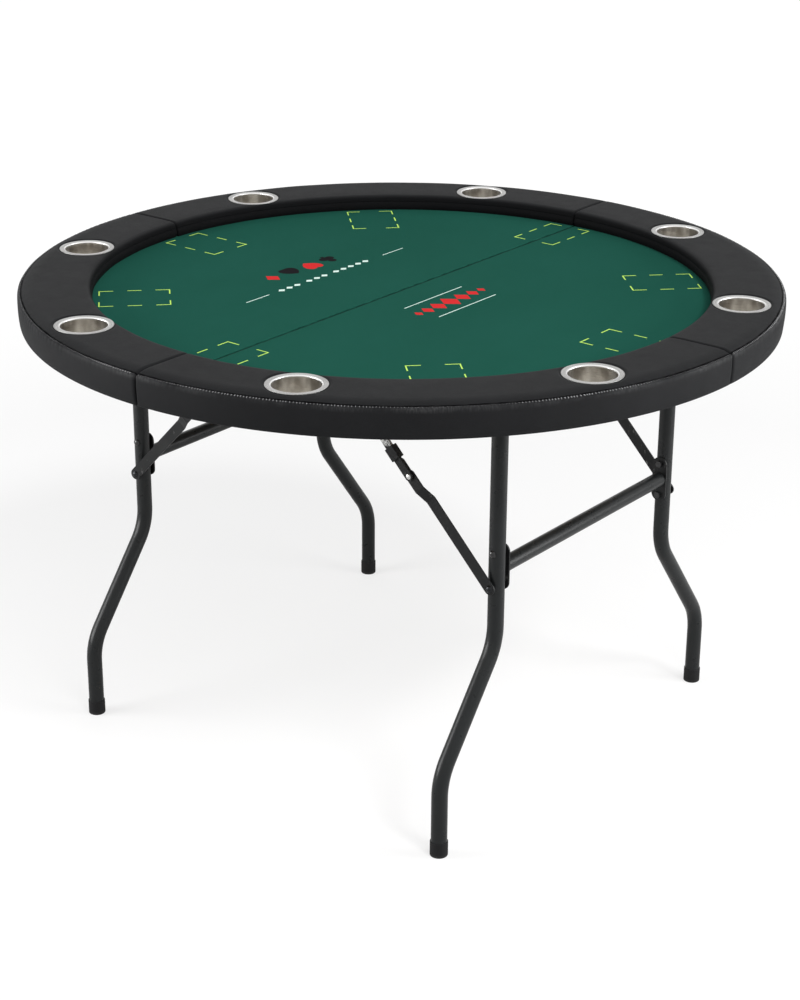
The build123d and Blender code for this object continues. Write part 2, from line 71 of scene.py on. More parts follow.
# Studio
LIGHT_AIM_HEIGHT = 0.6
SKY_LIGHT = 0.34
SUN_LIGHT = 1.25
SUN_SPREAD = 13.0
KEY_FROM = {"rightward": 1.3, "toward": 1.5, "upward": 2.3}
FRONT_LAMP = {"rightward": 0.7, "toward": 2.1, "height": 2.0, "width": 1.0, "depth": 1.0, "energy": 26.0}
LEFT_LAMP = {"rightward": -2.4, "toward": 0.5}
RIGHT_LAMP = {"rightward": 2.4, "toward": 0.6}
SIDE_LAMP = {"height": 0.95, "width": 1.4, "depth": 1.2, "energy": 50.0, "mirrored": True}
BACKDROP_LAMP = {"rightward": -0.4, "toward": -2.8, "height": 2.4, "width": 3.0, "depth": 1.2,
                 "energy": 14.0}
FLOOR_SIZE = 30.0
FLOOR_GAP = 0.0002
FLOOR_SEEN = (0.28, 0.28, 0.28)
FLOOR_PLAIN = (0.62, 0.62, 0.62)
FLOOR_GLOW_NEAR, FLOOR_GLOW_FAR = 0.668, 0.83
LAMPS_REACH_FROM, LAMPS_REACH_TO = 1.6, 3.2

# Places read from the frame
RAIL_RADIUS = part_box("rail_pad_1")[1].x
RAIL_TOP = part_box("rail_pad_1")[1].z
HEM_DROP = 0.0035
RAIL_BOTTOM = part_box("rail_pad_1")[0].z - HEM_DROP
RAIL_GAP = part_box("rail_pad_1")[0].y
BOARD_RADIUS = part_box("half_board_right")[1].x
BOARD_BOTTOM, BOARD_TOP = (corner.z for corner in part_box("half_board_right"))
CORE_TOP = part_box("rail_core_1")[1].z
FELT_BOTTOM, FELT_TOP = (corner.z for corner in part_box("felt_right"))
CUP_LOW, CUP_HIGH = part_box("cup_holder_1")
CUP_FLANGE_RADIUS = (CUP_HIGH.y - CUP_LOW.y) / 2
CUP_TOP = CUP_HIGH.z
CUP_BOTTOM = CUP_LOW.z

# Rail pad
PAD_INNER_RADIUS = 0.4950
PAD_CORE_RADIUS = 0.5116
PAD_CLEARANCE = 0.0004
PAD_END_ROUND = 0.0050
PAD_STEP = 0.0018
PAD_BASE_GAP = 0.0002
PAD_SWELL = 0.0004
END_STEPS = (0, 0.0003, 0.0008, 0.0015, 0.0024, 0.0035, 0.0050, 0.0066, 0.0083)
END_ZONE = 0.0100
BELLY = 0.0040
CREASE_DROP = 0.0116
CREASE_DEPTH = 0.00025
INNER_ROLL = 0.0110
INNER_ROLL_DROP = 0.0006
CROWN_FROM, CROWN_TO = 0.0350, 0.0860
SEAM_INSET = 0.0062
SEAM_DROP = 0.0042
SEAM_DEPTH = 0.0021
BROW = 0.0066
SKIRT_BULGE = 0.0005
SKIRT_TUCK = 0.0012
HEM_ROUND = 0.0040
HEM_WIDTH = 0.0200
PUCKER_PITCH = 0.0125
PUCKER_DEPTH = 0.0008
STITCH_PITCH = 0.0048
STITCH_PATH = ((-0.0058, -0.0060), (-0.0048, -0.0052), (-0.0042, -0.0049),
               (-0.0034, -0.0050), (-0.0024, -0.0055), (-0.0016, -0.0066))
STITCH_SWELLS = (0.00020, 0.00070, 0.00090, 0.00090, 0.00060, 0.00015)
STITCH_SIDES = 6
STITCH_DRIFT = 0.0003
NORMAL_SPREAD = 0.0035

# Cups
CUP_COUNT = 8
CUP_CIRCLE = 0.5445
CUP_HOLE_RADIUS = 0.0371
CUP_OPENING_RADIUS = 0.0357
CUP_SEAT_DEPTH = 0.0021
CUP_THROAT = 0.0020
CUP_SIDES = 144
HOLE_SIDES = 96
CUTTER_OVERRUN = 0.01

# Braces
PIN_SPLIT_HEIGHT = 0.45
RUBBED_FROM, RUBBED_TO = 0.588, 0.622
ZINC_COLOUR = (0.66, 0.66, 0.65)
ZINC_ROUGHNESS = 0.26

# Cloth
FELT_RADIUS = 0.5068
FOAM_RADIUS = 0.5066
CLOTH_EDGE, CLOTH_CURL = 0.0013, 0.0018
FOAM_EDGE, FOAM_CURL = 0.0004, 0.0
SHEET_GAP = 0.00005
PRINT_LIFT = 0.00004
PRINT_THICKNESS = 0.00010


# Camera and stage
def add_camera():
    azimuth = math.radians(CAMERA_AZIMUTH)
    elevation = math.radians(CAMERA_ELEVATION)
    roll = math.radians(CAMERA_ROLL)
    back = Vector((math.sin(azimuth) * math.cos(elevation), -math.cos(azimuth) * math.cos(elevation),
                   math.sin(elevation)))
    level_right = Vector((math.cos(azimuth), math.sin(azimuth), 0))
    level_up = back.cross(level_right)
    right = math.cos(roll) * level_right + math.sin(roll) * level_up
    up = math.cos(roll) * level_up - math.sin(roll) * level_right
    data = bpy.data.cameras.new("camera")
    data.lens = CAMERA_LENS_MM
    data.sensor_fit = "VERTICAL"
    data.sensor_height = SENSOR_MM
    data.sensor_width = SENSOR_MM
    camera = bpy.data.objects.new("camera", data)
    bpy.context.scene.collection.objects.link(camera)
    turn = Matrix((right, up, back)).transposed().to_4x4()
    camera.matrix_world = Matrix.Translation(CAMERA_TARGET + CAMERA_DISTANCE * back) @ turn
    bpy.context.scene.camera = camera


def add_area_light(name, rightward, toward, height, width, depth, energy, mirrored=False):
    """A soft lamp, placed as the camera sees it: metres to the right and toward the camera."""
    azimuth = math.radians(CAMERA_AZIMUTH)
    data = bpy.data.lights.new(name, "AREA")
    data.shape = "RECTANGLE"
    data.size = width
    data.size_y = depth
    data.energy = energy
    light = bpy.data.objects.new(name, data)
    light.visible_glossy = mirrored
    bpy.context.scene.collection.objects.link(light)
    light.location = (rightward * math.cos(azimuth) + toward * math.sin(azimuth),
                      rightward * math.sin(azimuth) - toward * math.cos(azimuth), height)
    aim = Vector((0, 0, LIGHT_AIM_HEIGHT)) - light.location
    light.rotation_euler = aim.to_track_quat("-Z", "Y").to_euler()


def add_sun(name, rightward, toward, upward):
    """The wide main light, from a direction given as the camera sees it."""
    azimuth = math.radians(CAMERA_AZIMUTH)
    data = bpy.data.lights.new(name, "SUN")
    data.energy = SUN_LIGHT
    data.angle = math.radians(SUN_SPREAD)
    light = bpy.data.objects.new(name, data)
    light.visible_glossy = False
    bpy.context.scene.collection.objects.link(light)
    source = Vector((rightward * math.cos(azimuth) + toward * math.sin(azimuth),
                     rightward * math.sin(azimuth) - toward * math.cos(azimuth), upward))
    light.rotation_euler = (-source).to_track_quat("-Z", "Y").to_euler()


class Look:
    """A material under construction: each call adds one node and gives back its output."""

    def __init__(self, name, **shader):
        self.material = bpy.data.materials.new(name)
        self.material.use_nodes = True
        self.tree = self.material.node_tree
        self.shader = self.tree.nodes["Principled BSDF"]
        self.set(**shader)

    def put(self, socket, value):
        if isinstance(value, bpy.types.NodeSocket):
            self.tree.links.new(value, socket)
        elif isinstance(value, (tuple, list)) and len(value) == 3 and socket.type == "RGBA":
            socket.default_value = (*value, 1)
        else:
            socket.default_value = value

    def set(self, **inputs):
        for name, value in inputs.items():
            self.put(self.shader.inputs[name.replace("_", " ")], value)

    def add(self, kind, inputs=None, output=0, **attributes):
        made = self.tree.nodes.new(kind)
        for name, value in attributes.items():
            setattr(made, name, value)
        for key, value in (inputs or {}).items():
            self.put(made.inputs[key], value)
        return made.outputs[output]

    def place(self, scale=(1, 1, 1)):
        coordinates = self.add("ShaderNodeTexCoord", output="Object")
        return self.add("ShaderNodeMapping", {"Vector": coordinates, "Scale": scale})

    def noise(self, scale, detail=2.0, rough=0.5, vector=None):
        vector = vector or self.place()
        return self.add("ShaderNodeTexNoise", {"Vector": vector, "Scale": scale, "Detail": detail,
                                               "Roughness": rough})

    def cells(self, scale, feature="F1", vector=None):
        vector = vector or self.place()
        return self.add("ShaderNodeTexVoronoi", {"Vector": vector, "Scale": scale}, feature=feature)

    def math(self, operation, a, b=0.0, clamp=False):
        return self.add("ShaderNodeMath", {0: a, 1: b}, operation=operation, use_clamp=clamp)

    def span(self, value, low, high, out_low=0.0, out_high=1.0):
        return self.add("ShaderNodeMapRange", {"Value": value, "From Min": low, "From Max": high,
                                               "To Min": out_low, "To Max": out_high})

    def mix(self, factor, a, b, blend="MIX"):
        made = self.tree.nodes.new("ShaderNodeMix")
        made.data_type = "RGBA"
        made.blend_type = blend
        self.put(made.inputs[0], factor)
        self.put(made.inputs[6], a)
        self.put(made.inputs[7], b)
        return made.outputs[2]

    def bump(self, height, distance, strength=1.0, normal=None):
        inputs = {"Height": height, "Distance": distance, "Strength": strength}
        if normal:
            inputs["Normal"] = normal
        return self.add("ShaderNodeBump", inputs)


def add_world():
    world = bpy.data.worlds.new("studio")
    bpy.context.scene.world = world
    world.use_nodes = True
    tree = world.node_tree
    background = tree.nodes["Background"]
    path = tree.nodes.new("ShaderNodeLightPath")
    seen = path.outputs["Is Camera Ray"]
    for kind in ("Is Glossy Ray", "Is Transmission Ray"):
        either = tree.nodes.new("ShaderNodeMath")
        either.operation = "MAXIMUM"
        tree.links.new(seen, either.inputs[0])
        tree.links.new(path.outputs[kind], either.inputs[1])
        seen = either.outputs[0]
    strength = tree.nodes.new("ShaderNodeMapRange")
    tree.links.new(seen, strength.inputs["Value"])
    strength.inputs["To Min"].default_value = SKY_LIGHT
    strength.inputs["To Max"].default_value = 1.0
    tree.links.new(strength.outputs[0], background.inputs["Strength"])
    background.inputs["Color"].default_value = (1, 1, 1, 1)


def add_floor():
    """A pale floor that keeps the soft shadow and runs into the white background."""
    size = FLOOR_SIZE
    corners = [(-size, -size, 0), (size, -size, 0), (size, size, 0), (-size, size, 0)]
    mesh = bpy.data.meshes.new("floor")
    mesh.from_pydata(corners, [], [(0, 1, 2, 3)])
    floor = bpy.data.objects.new("floor", mesh)
    floor.location.z = cad_low.z - FLOOR_GAP
    bpy.context.scene.collection.objects.link(floor)
    look = Look("pale_floor", Roughness=0.9)
    tree = look.tree
    pale = look.add("ShaderNodeBsdfDiffuse", {"Color": FLOOR_SEEN})
    away = look.add("ShaderNodeVectorMath", {0: look.place()}, output=1, operation="LENGTH")
    strength = look.span(away, LAMPS_REACH_FROM, LAMPS_REACH_TO, FLOOR_GLOW_NEAR, FLOOR_GLOW_FAR)
    glow = look.add("ShaderNodeEmission", {"Color": (1, 1, 1), "Strength": strength})
    bright = look.add("ShaderNodeAddShader", {0: pale, 1: glow})
    plain = look.add("ShaderNodeBsdfDiffuse", {"Color": FLOOR_PLAIN})
    seen = look.add("ShaderNodeLightPath", output="Is Camera Ray")
    both = look.add("ShaderNodeMixShader", {0: seen, 1: plain, 2: bright})
    tree.links.new(both, tree.nodes["Material Output"].inputs["Surface"])
    mesh.materials.append(look.material)


# Materials
def leather_look():
    """Dark leather-look vinyl with a fine grain; painted highlight on the brow below the seam, painted shade
    in the seam groove and on the inner wall.
    """
    look = Look("rail_vinyl")
    grain = look.cells(1150.0, "SMOOTH_F1")
    pores = look.noise(2600.0, 2.0)
    height = look.math("ADD", grain, look.math("MULTIPLY", pores, 0.35))
    creases = look.noise(70.0, 5.0, 0.62)
    fine = look.bump(height, 0.00022, 0.7)
    look.set(Normal=look.bump(creases, 0.0005, 0.22, fine))
    where = look.add("ShaderNodeSeparateXYZ", {0: look.place()}).node
    x, y, z = where.outputs
    radius = look.math("SQRT", look.math("ADD", look.math("MULTIPLY", x, x), look.math("MULTIPLY", y, y)))
    seam_radius, seam_height = RAIL_RADIUS - SEAM_INSET, RAIL_TOP - SEAM_DROP
    # Painted highlight on the brow below the seam: these patches and the gathers hatch paint the light that
    # the rounded shoulder catches.
    beyond = look.span(radius, seam_radius + 0.0004, seam_radius + 0.0016)
    above = look.span(z, seam_height - BROW - 0.0030, seam_height - BROW * 0.4)
    highlight_patches = look.span(look.noise(11.0, 3.0, 0.6), 0.40, 0.62, 0.05, 1.0)
    gathers = look.span(look.noise(420.0, 2.0, 0.6, look.place((1, 1, 0.12))), 0.42, 0.60, 0.30, 1.0)
    pale = look.math("MULTIPLY", highlight_patches, gathers)
    brow = look.math("MULTIPLY", look.math("MULTIPLY", beyond, above), pale)
    # Painted shade in the seam groove, uneven along it; its reflection is switched off below.
    inside = look.span(radius, seam_radius - 0.0016, seam_radius - 0.0004)
    outside = look.span(radius, seam_radius + 0.0006, seam_radius + 0.0016, 1.0, 0.0)
    uneven = look.span(look.noise(60.0, 3.0, 0.7), 0.35, 0.60, 0.15, 0.90)
    seam = look.math("MULTIPLY", look.math("MULTIPLY", inside, outside), uneven)
    tone = look.noise(9.0, 4.0, 0.6)
    colour = look.mix(look.span(tone, 0.3, 0.7), (0.0104, 0.0107, 0.0114), (0.0124, 0.0127, 0.0136))
    worn = look.span(look.noise(38.0, 4.0, 0.7), 0.55, 0.8)
    colour = look.mix(look.math("MULTIPLY", worn, 0.25), colour, (0.017, 0.0172, 0.018))
    # Painted highlight on the brow.
    colour = look.mix(brow, colour, (0.040, 0.0404, 0.0415))
    # Painted shade on the inner wall below the roll; with the seam's painted shade it darkens the colour and
    # takes away the reflection.
    inner_wall_shade = look.span(radius, PAD_INNER_RADIUS + 0.0010, PAD_INNER_RADIUS + 0.0050, 1.0, 0.0)
    dark = look.math("MAXIMUM", seam, look.math("MULTIPLY", inner_wall_shade, 0.65))
    look.set(Base_Color=look.mix(dark, colour, (0.0025, 0.0025, 0.0028)))
    look.set(Specular_IOR_Level=look.math("MULTIPLY", look.math("SUBTRACT", 1.0, dark), 0.058))
    look.set(Roughness=look.span(look.noise(46.0, 5.0, 0.65), 0.25, 0.75, 0.54, 0.60))
    return look.material


def felt_look():
    """Deep green short-nap cloth with a fine fibre bump and faint uneven brushing."""
    look = Look("green_cloth", Roughness=0.95, Specular_IOR_Level=0.02)
    fibres = look.noise(2400.0, 3.0, 0.7)
    nap = look.noise(620.0, 3.0, 0.6)
    waves = {"Vector": look.place(), "Scale": 240.0, "Distortion": 6.0, "Detail": 2.0, "Detail Scale": 3.0}
    weave = look.add("ShaderNodeTexWave", waves, wave_type="BANDS")
    height = look.math("ADD", fibres, look.math("MULTIPLY", weave, 0.25))
    look.set(Normal=look.bump(nap, 0.00025, 0.5, look.bump(height, 0.00030, 0.8)))
    brushed = look.noise(5.0, 5.0, 0.6, look.place((1, 0.5, 1)))
    colour = look.mix(look.span(brushed, 0.3, 0.7), (0.0120, 0.0815, 0.0580), (0.0145, 0.0915, 0.0670))
    flecks = look.math("MULTIPLY", look.span(look.noise(1500.0, 2.0), 0.45, 0.75), 0.35)
    colour = look.mix(flecks, colour, (0.022, 0.105, 0.080))
    # Painted shade along the middle seam, where the two cloth edges roll down into the crease.
    across = look.add("ShaderNodeSeparateXYZ", {0: look.place()}, output=0)
    wavy = look.math("MULTIPLY", look.math("SUBTRACT", look.noise(45.0, 3.0, 0.6), 0.5), 0.004)
    crease = look.span(look.math("ABSOLUTE", look.math("ADD", across, wavy)), 0.0014, 0.0034, 0.8, 0.0)
    look.set(Base_Color=look.mix(crease, colour, (0.0030, 0.0230, 0.0160)))
    return look.material


def ink_look(name, colour, paler):
    """Ink printed on the cloth, through which the fibres show a little."""
    look = Look(name, Roughness=0.9, Specular_IOR_Level=0.02)
    fibres = look.noise(1400.0, 3.0, 0.7)
    look.set(Base_Color=look.mix(look.span(fibres, 0.35, 0.75), colour, paler))
    look.set(Normal=look.bump(fibres, 0.00015, 0.6))
    return look.material


def powder_look(name="charcoal_powder_coat", dark=(0.0096, 0.0106, 0.0109), light=(0.0121, 0.0133, 0.0137)):
    """Satin powder coat: fine orange peel and slightly uneven colour."""
    look = Look(name, Specular_IOR_Level=0.21)
    peel = look.noise(900.0, 2.0, 0.5)
    ripple = look.noise(120.0, 3.0, 0.5)
    look.set(Normal=look.bump(ripple, 0.0001, 0.12, look.bump(peel, 0.00010, 0.5)))
    tone = look.noise(14.0, 4.0, 0.6)
    look.set(Base_Color=look.mix(look.span(tone, 0.3, 0.7), dark, light))
    look.set(Roughness=look.span(look.noise(60.0, 4.0), 0.3, 0.7, 0.26, 0.34))
    return look.material


def black_steel_look(name, worn_low=None, worn_high=None):
    """Satin black paint on flat steel, scuffed, and rubbed bright between two heights."""
    look = Look(name, Specular_IOR_Level=0.16)
    speck = look.noise(700.0, 3.0, 0.6)
    scuffs = look.noise(1.0, 5.0, 0.7, look.place((160, 160, 60)))
    mask = look.math("MULTIPLY", look.span(scuffs, 0.62, 0.74), 0.35)
    if worn_low is not None:
        height = look.add("ShaderNodeSeparateXYZ", {0: look.place()}, output=2)
        above = look.span(height, worn_low, worn_low + 0.004)
        below = look.span(height, worn_high - 0.012, worn_high, 1.0, 0.0)
        patches = look.span(look.noise(420.0, 4.0, 0.7), 0.40, 0.56)
        zone = look.math("MULTIPLY", look.math("MULTIPLY", above, below), patches)
        mask = look.math("MAXIMUM", mask, zone)
    uneven = look.span(look.noise(30.0, 3.0), 0.3, 0.7)
    tone = look.mix(uneven, (0.0075, 0.0078, 0.0082), (0.0120, 0.0124, 0.0128))
    look.set(Base_Color=look.mix(mask, tone, (0.42, 0.42, 0.41)), Metallic=look.math("MULTIPLY", mask, 0.9))
    look.set(Roughness=look.span(look.noise(90.0, 4.0), 0.3, 0.7, 0.30, 0.44))
    look.set(Normal=look.bump(speck, 0.00010, 0.6))
    return look.material


def black_bolt_look():
    """Glossy black bolt heads with fine turning marks."""
    look = Look("blackened_bolts", Specular_IOR_Level=0.5)
    marks = look.noise(800.0, 3.0, 0.6)
    look.set(Base_Color=look.mix(marks, (0.006, 0.006, 0.0062), (0.014, 0.014, 0.0145)))
    look.set(Roughness=look.span(marks, 0.3, 0.7, 0.10, 0.20), Normal=look.bump(marks, 0.00006, 0.5))
    return look.material


def plated_look(name, colour, rough, black_below=None):
    """Zinc plate, faintly cloudy, with small turning marks; black oxide below a height."""
    look = Look(name, Metallic=1.0)
    cloud = look.noise(180.0, 4.0, 0.6)
    darker = tuple(0.72 * part for part in colour)
    plate = look.mix(look.span(cloud, 0.3, 0.7), darker, colour)
    if black_below is not None:
        height = look.add("ShaderNodeSeparateXYZ", {0: look.place()}, output=2)
        plate = look.mix(look.math("GREATER_THAN", height, black_below), (0.030, 0.031, 0.033), plate)
    look.set(Base_Color=plate)
    look.set(Roughness=look.span(look.noise(500.0, 3.0), 0.3, 0.7, rough - 0.06, rough + 0.08))
    look.set(Normal=look.bump(look.noise(1500.0, 2.0), 0.00005, 0.5))
    return look.material


def brushed_cup_look():
    """Steel brushed round the cup's own axis; the wall is brighter, with painted reflection patches that run
    down it, a painted reflection towards the bottom and a painted highlight round the throat.
    """
    look = Look("brushed_cup_steel", Metallic=1.0, Anisotropic=0.55)
    where = look.add("ShaderNodeSeparateXYZ", {0: look.add("ShaderNodeTexCoord", output="Object")}).node
    x, y, z = where.outputs
    angle = look.math("ARCTAN2", y, x)
    radius = look.math("SQRT", look.math("ADD", look.math("MULTIPLY", x, x), look.math("MULTIPLY", y, y)))
    lane = look.math("ADD", radius, z)

    def marks(around, across, closeness, detail=2.0, rough=0.5):
        vector = look.add("ShaderNodeCombineXYZ", {0: look.math("MULTIPLY", angle, around),
                                                   1: look.math("MULTIPLY", across, closeness)})
        return look.noise(1.0, detail, rough, vector)

    streaks = marks(1.6, lane, 2600.0, 4.0, 0.65)
    wide = marks(0.9, lane, 420.0)
    # Painted reflection: the drawn marks are large bright and dark patches on the wall that stand in for
    # reflections.
    drawn = marks(1.8, z, 22.0)
    mottle = look.span(look.noise(520.0, 3.0, 0.7), 0.35, 0.65)
    flange = look.mix(look.span(wide, 0.35, 0.65), (0.25, 0.245, 0.235), (0.46, 0.46, 0.45))
    flange = look.mix(look.math("MULTIPLY", mottle, 0.6), flange, (0.66, 0.66, 0.65))
    wall = look.mix(look.span(drawn, 0.38, 0.62), (0.45, 0.42, 0.38), (0.90, 0.88, 0.84))
    # Painted reflection: the wall and floor of the cup are painted near white towards the bottom.
    deep = look.span(z, CUP_BOTTOM, CUP_TOP - 0.010)
    wall = look.mix(deep, (0.97, 0.95, 0.91), wall)
    # Painted highlight: a pale band round the rounded throat.
    painted_throat_highlight = look.span(z, CUP_TOP - 1.8 * CUP_THROAT, CUP_TOP - 1.2 * CUP_THROAT)
    outer = look.span(radius, CUP_OPENING_RADIUS + 0.6 * CUP_THROAT, CUP_OPENING_RADIUS + 1.1 * CUP_THROAT)
    colour = look.mix(painted_throat_highlight, wall, (0.86, 0.86, 0.85))
    look.set(Base_Color=look.mix(outer, colour, flange))
    look.set(Roughness=look.span(streaks, 0.25, 0.75, 0.22, 0.38))
    look.set(Normal=look.bump(streaks, 0.00009, 0.7))
    look.set(Tangent=look.add("ShaderNodeTangent", direction_type="RADIAL", axis="Z"))
    return look.material


def board_look():
    """Sealed fibreboard: short pale fibres in a warm brown, under a thin dull lacquer."""
    look = Look("sealed_fibreboard", Specular_IOR_Level=0.35)
    fibres = look.noise(1.0, 5.0, 0.7, look.place((900, 220, 900)))
    cloud = look.noise(11.0, 4.0, 0.6)
    base = look.mix(look.span(cloud, 0.3, 0.7), (0.150, 0.098, 0.058), (0.200, 0.137, 0.085))
    look.set(Base_Color=look.mix(look.span(fibres, 0.5, 0.8), base, (0.300, 0.220, 0.145)))
    look.set(Roughness=look.span(fibres, 0.3, 0.7, 0.52, 0.70), Normal=look.bump(fibres, 0.00012, 0.5))
    return look.material


def rubber_look():
    """Matt black rubber, dusty where it meets the floor."""
    look = Look("foot_rubber", Specular_IOR_Level=0.18)
    grain = look.noise(1300.0, 3.0, 0.6)
    height = look.add("ShaderNodeSeparateXYZ", {0: look.place()}, output=2)
    dust = look.math("MULTIPLY", look.span(height, 0.0, 0.006, 1.0, 0.0), look.noise(300.0, 4.0))
    look.set(Base_Color=look.mix(dust, (0.0085, 0.0085, 0.0090), (0.040, 0.039, 0.037)))
    look.set(Roughness=look.span(grain, 0.3, 0.7, 0.62, 0.78), Normal=look.bump(grain, 0.00012, 0.6))
    return look.material


def foam_look():
    """Open grey foam sheet."""
    look = Look("foam_sheet", Roughness=0.95, Specular_IOR_Level=0.1)
    pores = look.cells(900.0)
    look.set(Base_Color=look.mix(pores, (0.010, 0.012, 0.012), (0.030, 0.033, 0.032)))
    look.set(Normal=look.bump(pores, 0.0004, 0.8))
    return look.material


def thread_look():
    """Pale polyester thread with a slight twist."""
    look = Look("rail_thread", Roughness=0.5, Specular_IOR_Level=0.15)
    twist = look.noise(2200.0, 2.0)
    look.set(Base_Color=look.mix(twist, (0.200, 0.200, 0.205), (0.420, 0.420, 0.428)))
    look.set(Normal=look.bump(twist, 0.0001, 0.7))
    return look.material


# Mesh helpers
def add_piece(name, vertices, faces, material, body, sharp=40.0):
    mesh = bpy.data.meshes.new(name)
    mesh.from_pydata([tuple(v) for v in vertices], [], faces)
    mesh.validate()
    mesh.update()
    mesh.shade_smooth()
    mesh.set_sharp_from_angle(angle=math.radians(sharp))
    mesh.materials.append(material)
    piece = bpy.data.objects.new(name, mesh)
    bpy.context.scene.collection.objects.link(piece)
    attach(piece, body)
    return piece


def dress(names, material):
    """Gives CAD nodes a material in every slot that they have."""
    for name in names:
        slots = nodes[name].material_slots
        for slot in slots:
            slot.material = material


def names_of(start, corners=False):
    ends = [side + "_" + end for side in SIDES for end in ENDS] if corners else SIDES
    return [start + "_" + end for end in ends]


def cup_places():
    step = math.tau / CUP_COUNT
    return [(CUP_CIRCLE * math.cos(step * (i + 0.5)), CUP_CIRCLE * math.sin(step * (i + 0.5)))
            for i in range(CUP_COUNT)]


def smooth(value, low, high):
    share = np.clip((value - low) / (high - low), 0, 1)
    return share * share * (3 - 2 * share)


# Rail pads
def curve_points(first, middle, last, count):
    """Points along a bow from first through the pull of middle to last, without the last one."""
    shares = np.linspace(0, 1, count, endpoint=False)
    first, middle, last = np.array(first), np.array(middle), np.array(last)
    return [tuple((1 - s) ** 2 * first + 2 * s * (1 - s) * middle + s * s * last) for s in shares]


def round_points(centre, radius, start, stop, count):
    angles = np.radians(np.linspace(start, stop, count, endpoint=False))
    return [(centre[0] + radius * math.cos(a), centre[1] + radius * math.sin(a)) for a in angles]


def rail_section():
    """The pad's section: radii, heights, and how far each point follows the swells of the cover."""
    base_z = FELT_TOP + PAD_BASE_GAP
    crease = (PAD_INNER_RADIUS, RAIL_TOP - CREASE_DROP)
    inner = (PAD_INNER_RADIUS - CREASE_DEPTH, crease[1] + CREASE_DEPTH)
    rolled = (PAD_INNER_RADIUS + INNER_ROLL, RAIL_TOP - INNER_ROLL_DROP)
    crown = [(PAD_INNER_RADIUS + reach, RAIL_TOP) for reach in (CROWN_FROM, CROWN_TO)]
    seam = (RAIL_RADIUS - SEAM_INSET, RAIL_TOP - SEAM_DROP)
    groove = (seam[0], seam[1] - SEAM_DEPTH)
    crest = (seam[0] + 0.8 * SEAM_DEPTH, seam[1] - 0.3 * SEAM_DEPTH)
    brow = (RAIL_RADIUS + 0.5 * SKIRT_BULGE, crest[1] - BROW)
    low = (RAIL_RADIUS - SKIRT_TUCK, RAIL_BOTTOM + HEM_ROUND)
    turn = (low[0] - HEM_ROUND / 2, RAIL_BOTTOM)
    belly = (PAD_INNER_RADIUS - BELLY, (base_z + crease[1]) / 2)
    cover = curve_points((PAD_INNER_RADIUS, base_z), belly, crease, 9)
    cover += curve_points(crease, crease, inner, 1)
    cover += curve_points(inner, (inner[0], RAIL_TOP - 2 * INNER_ROLL_DROP), rolled, 14)
    cover += curve_points(rolled, ((rolled[0] + crown[0][0]) / 2, RAIL_TOP), crown[0], 9)
    cover += curve_points(crown[0], ((crown[0][0] + crown[1][0]) / 2, RAIL_TOP), crown[1], 18)
    cover += curve_points(crown[1], (seam[0] - 0.4 * (seam[0] - crown[1][0]), RAIL_TOP), seam, 16)
    cover += curve_points(seam, (seam[0] + 0.0004, seam[1] - 0.4 * SEAM_DEPTH), groove, 3)
    cover += curve_points(groove, (crest[0] - 0.0007, crest[1] - 0.0009), crest, 3)
    cover += curve_points(crest, (RAIL_RADIUS, crest[1]), brow, 8)
    cover += curve_points(brow, (RAIL_RADIUS + 2 * SKIRT_BULGE, (brow[1] + low[1]) / 2), low, 18)
    cover += curve_points(low, (low[0] - 0.0004, RAIL_BOTTOM), turn, 6)
    side = BOARD_RADIUS + PAD_CLEARANCE
    hem = BOARD_RADIUS - HEM_WIDTH
    ceiling = CORE_TOP + PAD_CLEARANCE
    inside = [turn, ((turn[0] + hem) / 2, RAIL_BOTTOM), (hem, RAIL_BOTTOM), (hem, BOARD_BOTTOM),
              (side, BOARD_BOTTOM), (side, ceiling), (PAD_CORE_RADIUS, ceiling), (PAD_CORE_RADIUS, base_z)]
    points = np.array(cover + inside)
    follows = np.concatenate([np.ones(len(cover) - 6), np.linspace(1, 0.2, 6), np.zeros(len(inside))])
    return points[:, 0], points[:, 1], follows


def inward_normals(radius, height):
    """The section's inward directions, evened out so that an inset never folds over itself."""
    points = np.stack([radius, height], 1)
    along = np.roll(points, -1, 0) - np.roll(points, 1, 0)
    normal = np.stack([along[:, 1], -along[:, 0]], 1) / np.linalg.norm(along, axis=1)[:, None]
    gaps = np.linalg.norm(points[:, None] - points[None], axis=2)
    weight = np.exp(-(gaps / NORMAL_SPREAD) ** 2) * (normal @ normal.T > -0.2)
    even = weight @ normal
    return even / np.linalg.norm(even, axis=1)[:, None]


def pad_stations():
    """Shares of the way along a quarter, closer together near its two ends."""
    length = RAIL_RADIUS * math.pi / 2
    near = list(END_STEPS)
    middle = np.arange(END_ZONE, length - END_ZONE, PAD_STEP)
    return np.array(near + list(middle) + [length - d for d in reversed(near)]) / length


def pucker_at(arc, quarter):
    """How deep the seam is drawn in at each place along it: uneven, with sharper valleys than crests."""
    depth = np.zeros(len(arc))
    for i, s in enumerate(arc):
        shift = 0.35 * noise.noise(Vector((s * 60, quarter * 7.1, 0.3)))
        wave = abs(math.sin(math.pi * (s / PUCKER_PITCH + shift)))
        strength = 0.55 + 0.75 * noise.noise(Vector((s * 21, quarter * 3.7, 5.1)))
        depth[i] = max(0.0, strength) * (1 - wave) ** 1.5
    return depth


